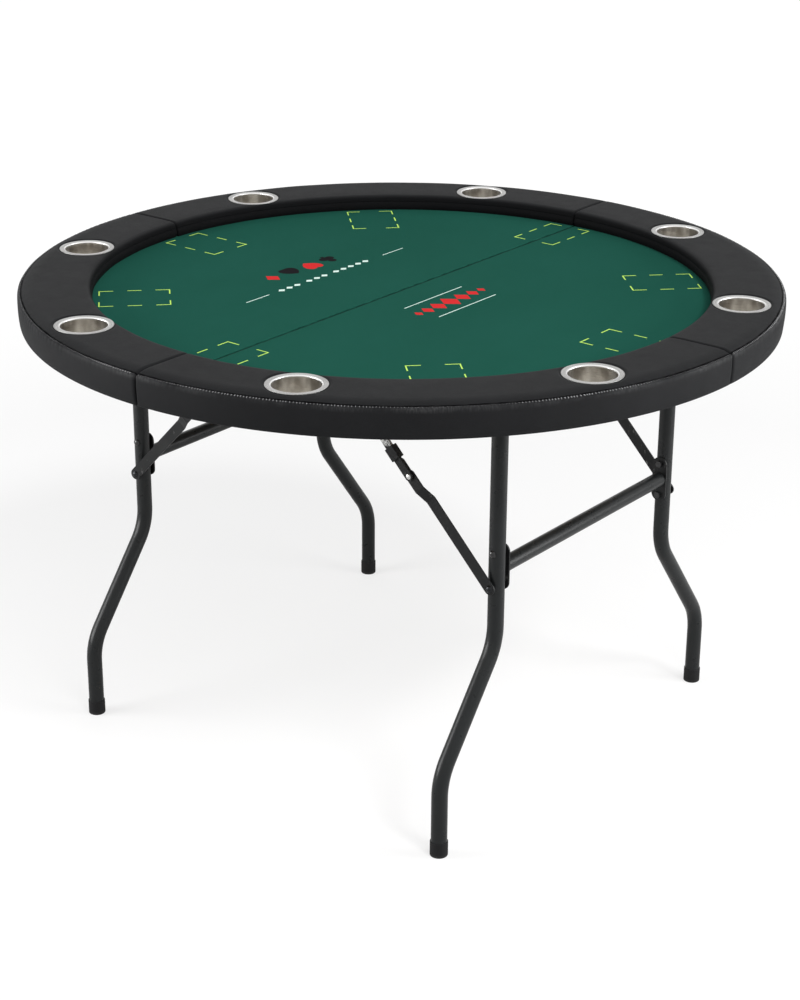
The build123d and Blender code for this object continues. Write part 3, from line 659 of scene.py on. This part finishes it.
def rail_pad(quarter, material):
    radius, height, follows = rail_section()
    normal = inward_normals(radius, height)
    shares = pad_stations()
    count = len(radius)
    arc = shares * RAIL_RADIUS * math.pi / 2
    pucker = pucker_at(arc, quarter)
    seam = RAIL_TOP - SEAM_DROP
    outside = radius > RAIL_RADIUS - SEAM_INSET
    on_skirt = follows * outside * smooth(height, seam - 0.014, seam - 0.001)
    on_top = follows * ~outside * smooth(radius, RAIL_RADIUS - 0.014, RAIL_RADIUS - SEAM_INSET)
    draw = on_skirt + 0.5 * on_top
    from_end = np.minimum(arc, arc[-1] - arc)
    past = np.maximum(PAD_END_ROUND - from_end, 0)
    drop = PAD_END_ROUND - np.sqrt(np.maximum(PAD_END_ROUND ** 2 - past ** 2, 0))
    vertices = np.zeros((len(shares), count, 3))
    start_angle = quarter * math.pi / 2
    cups = [Vector((x, y)) for x, y in cup_places()]
    for i, share in enumerate(shares):
        swell = np.array([PAD_SWELL * noise.noise(Vector((arc[i] * 14, quarter * 9.0, h * 30)))
                          for h in height])
        inset = follows * (drop[i] + PUCKER_DEPTH * pucker[i] * draw + swell)
        r = radius + normal[:, 0] * inset
        z = height + normal[:, 1] * inset
        margin = np.arcsin(RAIL_GAP / r)
        angle = start_angle + margin + share * (math.pi / 2 - 2 * margin)
        vertices[i] = np.stack([r * np.cos(angle), r * np.sin(angle), z], 1)
    flat = vertices.reshape(-1, 3)
    above = flat[:, 2] > CORE_TOP + 0.004
    seat = RAIL_TOP - CUP_SEAT_DEPTH
    for cup in cups:
        away = np.hypot(flat[:, 0] - cup.x, flat[:, 1] - cup.y)
        sink = 1 - smooth(away, CUP_FLANGE_RADIUS + 0.0006, CUP_FLANGE_RADIUS + 0.0052)
        lowered = flat[:, 2] - sink * np.maximum(flat[:, 2] - seat, 0)
        flat[:, 2] = np.where(above, lowered, flat[:, 2])
    faces = []
    for i in range(len(shares) - 1):
        for j in range(count):
            k = (j + 1) % count
            faces.append((i * count + k, (i + 1) * count + k, (i + 1) * count + j, i * count + j))
    faces.append(tuple(reversed(range(count))))
    faces.append(tuple(range((len(shares) - 1) * count, len(shares) * count)))
    name = "rail_cushion_" + str(quarter + 1)
    pad = add_piece(name, flat, faces, material, "top", sharp=50.0)
    cut_cup_holes(pad, quarter)
    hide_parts("rail_pad_" + str(quarter + 1))
    return pad


def cut_cup_holes(pad, quarter):
    """Cuts the two cup holes of a quarter with round tubes, hidden under the cups' flanges."""
    for x, y in cup_places():
        if int(math.atan2(y, x) % math.tau // (math.pi / 2)) != quarter:
            continue
        sides = HOLE_SIDES
        around = [math.tau * i / sides for i in range(sides)]
        ring = [(x + CUP_HOLE_RADIUS * math.cos(a), y + CUP_HOLE_RADIUS * math.sin(a)) for a in around]
        low = [(px, py, RAIL_BOTTOM - CUTTER_OVERRUN) for px, py in ring]
        high = [(px, py, RAIL_TOP + CUTTER_OVERRUN) for px, py in ring]
        faces = [(i, (i + 1) % sides, sides + (i + 1) % sides, sides + i) for i in range(sides)]
        faces += [tuple(reversed(range(sides))), tuple(range(sides, 2 * sides))]
        mesh = bpy.data.meshes.new("hole")
        mesh.from_pydata(low + high, [], faces)
        cutter = bpy.data.objects.new("hole", mesh)
        bpy.context.scene.collection.objects.link(cutter)
        modifier = pad.modifiers.new("hole", "BOOLEAN")
        modifier.operation = "DIFFERENCE"
        modifier.solver = "EXACT"
        modifier.object = cutter
        bpy.context.view_layer.update()
        cut = bpy.data.meshes.new_from_object(pad.evaluated_get(bpy.context.evaluated_depsgraph_get()))
        pad.modifiers.clear()
        pad.data = cut
        bpy.data.objects.remove(cutter)
    pad.data.name = pad.name


def rail_stitches(quarter, material):
    """Fine gathers that the stitches draw in below the seam, uneven in length, one mesh for each quarter."""
    length = RAIL_RADIUS * math.pi / 2
    count = int((length - 2 * PAD_END_ROUND) / STITCH_PITCH)
    path, sides = STITCH_PATH, STITCH_SIDES
    vertices, faces = [], []
    for i in range(count):
        arc = PAD_END_ROUND + i * STITCH_PITCH
        drift = noise.noise(Vector((arc * 90, quarter * 2.2, 1.0)))
        strength = min(max(0.50 + 1.3 * noise.noise(Vector((arc * 5, quarter * 4.1, 42.2))), 0.12), 1.0)
        angle = quarter * math.pi / 2 + (arc + 0.0008 * drift) / RAIL_RADIUS
        out = Vector((math.cos(angle), math.sin(angle), 0))
        side = Vector((-math.sin(angle), math.cos(angle), 0))
        lift = (out + Vector((0, 0, 1))).normalized()
        for step, ((dr, dz), swell) in enumerate(zip(path, STITCH_SWELLS)):
            stretch = 1 if step < 3 else strength
            fall = path[2][1] + (dz - path[2][1]) * stretch if step > 2 else dz
            centre = out * (RAIL_RADIUS + dr) + Vector((0, 0, RAIL_TOP + fall))
            centre += side * STITCH_DRIFT * drift * step
            for a in range(sides):
                turn = math.tau * a / sides
                vertices.append(centre + strength * swell * (side * math.cos(turn) + lift * math.sin(turn)))
        base = i * sides * len(path)
        for step in range(len(path) - 1):
            for a in range(sides):
                b = (a + 1) % sides
                low, high = base + step * sides, base + (step + 1) * sides
                faces.append((low + a, low + b, high + b, high + a))
        faces.append(tuple(base + a for a in reversed(range(sides))))
        faces.append(tuple(base + (len(path) - 1) * sides + a for a in range(sides)))
    name = "rail_stitches_" + str(quarter + 1)
    return add_piece(name, vertices, faces, material, "top", sharp=80.0)


# Cloth and foam
def half_sheet(name, side, radius, edge, top, bottom, curl, material):
    """Half a round sheet, closed, whose straight edge rolls down along the middle seam."""
    rows = np.concatenate([np.linspace(-1, -0.9, 24, endpoint=False),
                           np.linspace(-0.9, 0.9, 150, endpoint=False),
                           np.linspace(0.9, 1, 25)]) * (radius - 0.0006)
    steps = np.array([0, 0.0004, 0.0009, 0.0016, 0.0026, 0.0042, 0.0070, 0.0120])
    vertices, faces = [], []
    columns = len(steps) + 26
    for y in rows:
        reach = math.sqrt(max(radius ** 2 - y ** 2, 0))
        wander = edge + 0.0009 * noise.noise(Vector((y * 22, 3.0, 2.0))) * side \
            + 0.0005 * noise.noise(Vector((y * 80, side * 5.0, 7.0)))
        start = min(max(wander, 0.0002), reach)
        near = start + np.minimum(steps, (reach - start) * np.arange(len(steps)) / (columns - 1))
        far = np.linspace(near[-1], reach, columns - len(steps) + 1)[1:]
        for distance, x in zip(list(steps) + [1] * len(far), list(near) + list(far)):
            fall = curl * (1 - smooth(distance, 0.0, 0.0024)) ** 2
            ripple = 0.00012 * noise.noise(Vector((x * 30, y * 30, 4.0))) * (1 - smooth(x, 0.0, 0.02))
            vertices.append((side * x, y, top - fall + min(ripple, 0)))
    area = len(vertices)
    vertices += [(x, y, bottom) for x, y, _ in vertices]
    grid = np.arange(area).reshape(len(rows), columns)
    for i in range(len(rows) - 1):
        for j in range(columns - 1):
            quad = (grid[i, j], grid[i, j + 1], grid[i + 1, j + 1], grid[i + 1, j])
            under = tuple(area + v for v in reversed(quad))
            faces.append(quad if side > 0 else tuple(reversed(quad)))
            faces.append(under if side > 0 else tuple(reversed(under)))
    rim = list(grid[0, :]) + list(grid[1:, -1]) + list(grid[-1, -2::-1]) + list(grid[-2:0:-1, 0])
    for a, b in zip(rim, rim[1:] + rim[:1]):
        wall = (a, area + a, area + b, b)
        faces.append(wall if side > 0 else tuple(reversed(wall)))
    faces = [tuple(int(v) for v in face) for face in faces]
    return add_piece(name, vertices, faces, material, "top", sharp=60.0)


def add_cloth(cloth, foam):
    for side_name, side in zip(SIDES, (1, -1)):
        sheet = half_sheet("cloth_" + side_name, side, FELT_RADIUS, CLOTH_EDGE, FELT_TOP,
                           FELT_BOTTOM + SHEET_GAP, CLOTH_CURL, cloth)
        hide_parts("felt_" + side_name)
        under = half_sheet("foam_" + side_name, side, FOAM_RADIUS, FOAM_EDGE, FELT_BOTTOM - SHEET_GAP,
                           BOARD_TOP + SHEET_GAP, FOAM_CURL, foam)
        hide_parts("felt_underlay")


# Prints on the cloth
BOX_COUNT = 8
BOX_NEAR, BOX_FAR = 0.371, 0.483
BOX_HALF_WIDTH = 0.040
BOX_LINE = 0.0021
SUITS_X = -0.204
SUITS = (("diamond", -0.081, "red"), ("spade", -0.034, "black"),
         ("heart", 0.013, "red"), ("club", 0.060, "black"))
SUIT_HEIGHT = 0.031
DIVIDER_X = -0.148
DIVIDER_LINES = ((-0.209, -0.154), (0.137, 0.192))
DIVIDER_LINE = 0.0018
DIVIDER_GROUPS = (3, 3, 5)
BEAD_PITCH = 0.0192
BEAD_REACH = 0.0074
GROUP_GAP = 0.0108
DIVIDER_START = -0.1235
ORNAMENT_X = 0.098
ORNAMENT_HALF_LENGTH = 0.100
ORNAMENT_STEPS = 3
ORNAMENT_SIZE, ORNAMENT_SHRINK = 0.021, 0.004
ORNAMENT_CLOSER = 0.06
ORNAMENT_LINE_AWAY, ORNAMENT_LINE_REACH = 0.034, 0.075


def bar(x0, y0, x1, y1):
    return [(x0, y0), (x1, y0), (x1, y1), (x0, y1)]


def box_outlines():
    """A betting box on the +X axis: four corner angles, and one dash in each long side."""
    dash = (BOX_FAR - BOX_NEAR) / 5
    half = BOX_LINE / 2
    outlines = []
    for way in (-1, 1):
        edge = way * BOX_HALF_WIDTH
        for x, inner in ((BOX_NEAR, 1), (BOX_FAR, -1)):
            arm = x + inner * dash
            foot = edge - way * dash
            outlines.append([(x - inner * half, edge + way * half), (arm, edge + way * half),
                             (arm, edge - way * half), (x + inner * half, edge - way * half),
                             (x + inner * half, foot), (x - inner * half, foot)])
        outlines.append(bar(BOX_NEAR + 2 * dash, edge - half, BOX_FAR - 2 * dash, edge + half))
    return outlines


def star_outline(reach_at, count=72):
    """The outline of a shape that a point in its middle sees all of."""
    angles = [math.tau * i / count for i in range(count)]
    return [(reach_at(a) * math.cos(a), reach_at(a) * math.sin(a)) for a in angles]


def heart_reach(angle):
    """Reach of the heart curve (x2 + y2 - 1)3 = x2 y3 in one direction, found by halving."""
    c, s = math.cos(angle), math.sin(angle)
    low, high = 0.0, 1.6
    for _ in range(40):
        r = (low + high) / 2
        inside = (r * r - 1) ** 3 - r ** 5 * c * c * s ** 3 < 0
        low, high = (r, high) if inside else (low, r)
    return low


def stem_reach(angle, height, half_foot):
    """Reach of a stem that hangs below the middle and widens to its foot."""
    down = -math.sin(angle)
    if down <= 0.2:
        return 0.0
    reach = height / down
    return reach if abs(math.cos(angle)) * reach <= half_foot else 0.0


def club_reach(angle):
    best = stem_reach(angle, 1.05, 0.34)
    for turn in (90, 205, -25):
        off = angle - math.radians(turn)
        far, size = 0.56, 0.50
        if math.cos(off) > 0 and abs(far * math.sin(off)) < size:
            best = max(best, far * math.cos(off) + math.sqrt(size ** 2 - (far * math.sin(off)) ** 2))
    return max(best, 0.16)


def spade_reach(angle):
    return max(heart_reach(-angle), stem_reach(angle, 1.25, 0.36))


def suit_outline(kind):
    """A suit's outline, about two units high, upright along +Y."""
    if kind == "diamond":
        return [(0.80, 0), (0, 1.0), (-0.80, 0), (0, -1.0)]
    return star_outline({"heart": heart_reach, "spade": spade_reach, "club": club_reach}[kind])


def turned(outline, angle):
    c, s = math.cos(angle), math.sin(angle)
    return [(x * c - y * s, x * s + y * c) for x, y in outline]


def placed(outline, scale, x, y):
    return [(x + scale * px, y + scale * py) for px, py in outline]


def print_piece(name, outlines, material):
    """Thin closed plates of ink, one for each outline, just above the cloth."""
    low = FELT_TOP + PRINT_LIFT
    high = low + PRINT_THICKNESS
    vertices, faces = [], []
    for outline in outlines:
        turn = sum(a[0] * b[1] - b[0] * a[1] for a, b in zip(outline, outline[1:] + outline[:1]))
        outline = outline if turn > 0 else outline[::-1]
        n, base = len(outline), len(vertices)
        vertices += [(x, y, low) for x, y in outline] + [(x, y, high) for x, y in outline]
        faces.append(tuple(base + n + i for i in range(n)))
        faces.append(tuple(base + i for i in reversed(range(n))))
        faces += [(base + i, base + (i + 1) % n, base + n + (i + 1) % n, base + n + i) for i in range(n)]
    return add_piece(name, vertices, faces, material, "top", sharp=30.0)


def add_prints():
    lime = ink_look("lime_ink", (0.62, 0.95, 0.170), (0.50, 0.84, 0.150))
    red = ink_look("red_ink", (0.72, 0.034, 0.036), (0.60, 0.030, 0.033))
    black = ink_look("black_ink", (0.0105, 0.0095, 0.0115), (0.0160, 0.0165, 0.0175))
    white = ink_look("white_ink", (0.80, 0.97, 0.90), (0.66, 0.88, 0.80))
    boxes = []
    for index in range(BOX_COUNT):
        boxes += [turned(outline, math.tau * index / BOX_COUNT) for outline in box_outlines()]
    print_piece("print_betting_boxes", boxes, lime)
    for kind, y, colour in SUITS:
        outline = turned(suit_outline(kind), -math.pi / 2)
        shape = placed(outline, SUIT_HEIGHT / 2, SUITS_X, y)
        print_piece("print_" + kind, [shape], red if colour == "red" else black)
    half = DIVIDER_LINE / 2
    lines = [bar(DIVIDER_X - half, low, DIVIDER_X + half, high) for low, high in DIVIDER_LINES]
    y = DIVIDER_START
    for beads in DIVIDER_GROUPS:
        for _ in range(beads):
            lines.append(placed(suit_outline("diamond"), BEAD_REACH, DIVIDER_X, y))
            y += BEAD_PITCH
        y += GROUP_GAP
    print_piece("print_divider", lines, white)
    ornament = []
    for step in range(-ORNAMENT_STEPS, ORNAMENT_STEPS + 1):
        size = ORNAMENT_SIZE - ORNAMENT_SHRINK * abs(step)
        y = step * ORNAMENT_HALF_LENGTH / ORNAMENT_STEPS * (1 - ORNAMENT_CLOSER * abs(step))
        ornament.append(placed(turned(suit_outline("diamond"), math.pi / 2), size, ORNAMENT_X, y))
    print_piece("print_ornament", ornament, red)
    rows = [ORNAMENT_X + way * ORNAMENT_LINE_AWAY for way in (-1, 1)]
    edges = [bar(x - half, -ORNAMENT_LINE_REACH, x + half, ORNAMENT_LINE_REACH) for x in rows]
    print_piece("print_ornament_lines", edges, white)


# Cups
def cup_mesh():
    """A pressed steel cup, turned about its own axis, with a rolled rim and a rounded throat."""
    wall = 0.0008
    foot = 0.0055
    low_radius = CUP_OPENING_RADIUS - 0.0010
    seat = CUP_TOP - 0.0012
    profile = [(0, CUP_BOTTOM + 0.0023), (0.019, CUP_BOTTOM + 0.0023), (0.0205, CUP_BOTTOM + 0.0021),
               (0.0225, CUP_BOTTOM + 0.0011), (0.0240, CUP_BOTTOM + wall)]
    profile += round_points((low_radius - foot, CUP_BOTTOM + wall + foot), foot, -90, 0, 8)
    profile += [(low_radius, CUP_BOTTOM + wall + foot), (CUP_OPENING_RADIUS - 0.0004, CUP_TOP - 0.020),
                (CUP_OPENING_RADIUS, CUP_TOP - 0.0002 - 1.2 * CUP_THROAT)]
    throat = (CUP_OPENING_RADIUS + CUP_THROAT, CUP_TOP - 0.0002 - CUP_THROAT)
    profile += round_points(throat, CUP_THROAT, 180, 90, 10)
    profile += [(CUP_OPENING_RADIUS + CUP_THROAT, CUP_TOP - 0.0002),
                (CUP_OPENING_RADIUS + 1.2 * CUP_THROAT, CUP_TOP - 0.0001),
                (CUP_FLANGE_RADIUS - 0.0014, CUP_TOP), (CUP_FLANGE_RADIUS - 0.0007, CUP_TOP - 0.0001)]
    profile += round_points((CUP_FLANGE_RADIUS - 0.0006, CUP_TOP - 0.0007), 0.0006, 80, -80, 6)
    profile += [(CUP_FLANGE_RADIUS - 0.0008, seat), (CUP_OPENING_RADIUS + wall + 0.0016, seat),
                (CUP_OPENING_RADIUS + wall, seat - 0.0016)]
    profile += round_points((low_radius - foot, CUP_BOTTOM + foot + wall), foot + wall, 0, -90, 8)
    profile += [(0.0240, CUP_BOTTOM), (0.0225, CUP_BOTTOM + 0.0004), (0.0200, CUP_BOTTOM + 0.0014),
                (0, CUP_BOTTOM + 0.0015)]
    around = CUP_SIDES
    vertices = [(0, 0, profile[0][1])]
    for r, z in profile[1:-1]:
        vertices += [(r * math.cos(math.tau * i / around), r * math.sin(math.tau * i / around), z)
                     for i in range(around)]
    vertices.append((0, 0, profile[-1][1]))
    last = len(vertices) - 1
    faces = [(0, 1 + i, 1 + (i + 1) % around) for i in range(around)]
    for ring in range(len(profile) - 3):
        a, b = 1 + ring * around, 1 + (ring + 1) * around
        faces += [(a + i, b + i, b + (i + 1) % around, a + (i + 1) % around) for i in range(around)]
    end = 1 + (len(profile) - 3) * around
    faces += [(last, end + (i + 1) % around, end + i) for i in range(around)]
    return vertices, faces


def add_cups(material):
    vertices, faces = cup_mesh()
    for index, (x, y) in enumerate(cup_places()):
        number = str(index + 1)
        cup = add_piece("steel_cup_" + number, vertices, faces, material,
                        "cup_holder_" + number, sharp=50.0)
        cup.matrix_world = Matrix.Translation((x, y, 0)) @ Matrix.Rotation(index * 1.3, 4, "Z")
        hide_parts("cup_holder_" + number)


# Metalwork, boards and feet keep their CAD shapes
def dress_frame():
    board = board_look()
    dress(["half_board_right", "half_board_left"] + ["rail_core_" + str(q + 1) for q in QUARTERS], board)
    powder = powder_look()
    dress(names_of("pivot_tube") + names_of("crossbar") + names_of("leg", True), powder)
    steel = black_steel_look("black_painted_steel")
    dress(names_of("pivot_brackets") + names_of("brace_brackets") + names_of("flange_plates"), steel)
    dress(names_of("lower_link", True) + names_of("lock_ring", True), steel)
    rubbed = black_steel_look("rubbed_black_steel", RUBBED_FROM, RUBBED_TO)
    dress(names_of("upper_link", True), rubbed)
    zinc = plated_look("zinc_plate", ZINC_COLOUR, ZINC_ROUGHNESS)
    dress(["joining_plates", "underside_screws"], zinc)
    rivets = plated_look("zinc_rivets", ZINC_COLOUR, ZINC_ROUGHNESS, PIN_SPLIT_HEIGHT)
    dress(names_of("link_pins", True), rivets)
    dress(names_of("frame_bolts"), black_bolt_look())
    dress(names_of("foot", True), rubber_look())


bpy.context.scene.view_settings.view_transform = "Standard"
add_camera()
add_world()
add_sun("key", **KEY_FROM)
add_area_light("front", **FRONT_LAMP)
add_area_light("left_side", **LEFT_LAMP, **SIDE_LAMP)
add_area_light("right_side", **RIGHT_LAMP, **SIDE_LAMP)
add_area_light("backdrop", **BACKDROP_LAMP)
add_floor()
dress_frame()
vinyl = leather_look()
thread = thread_look()
for quarter in QUARTERS:
    rail_pad(quarter, vinyl)
    rail_stitches(quarter, thread)
add_cloth(felt_look(), foam_look())
add_prints()
add_cups(brushed_cup_look())
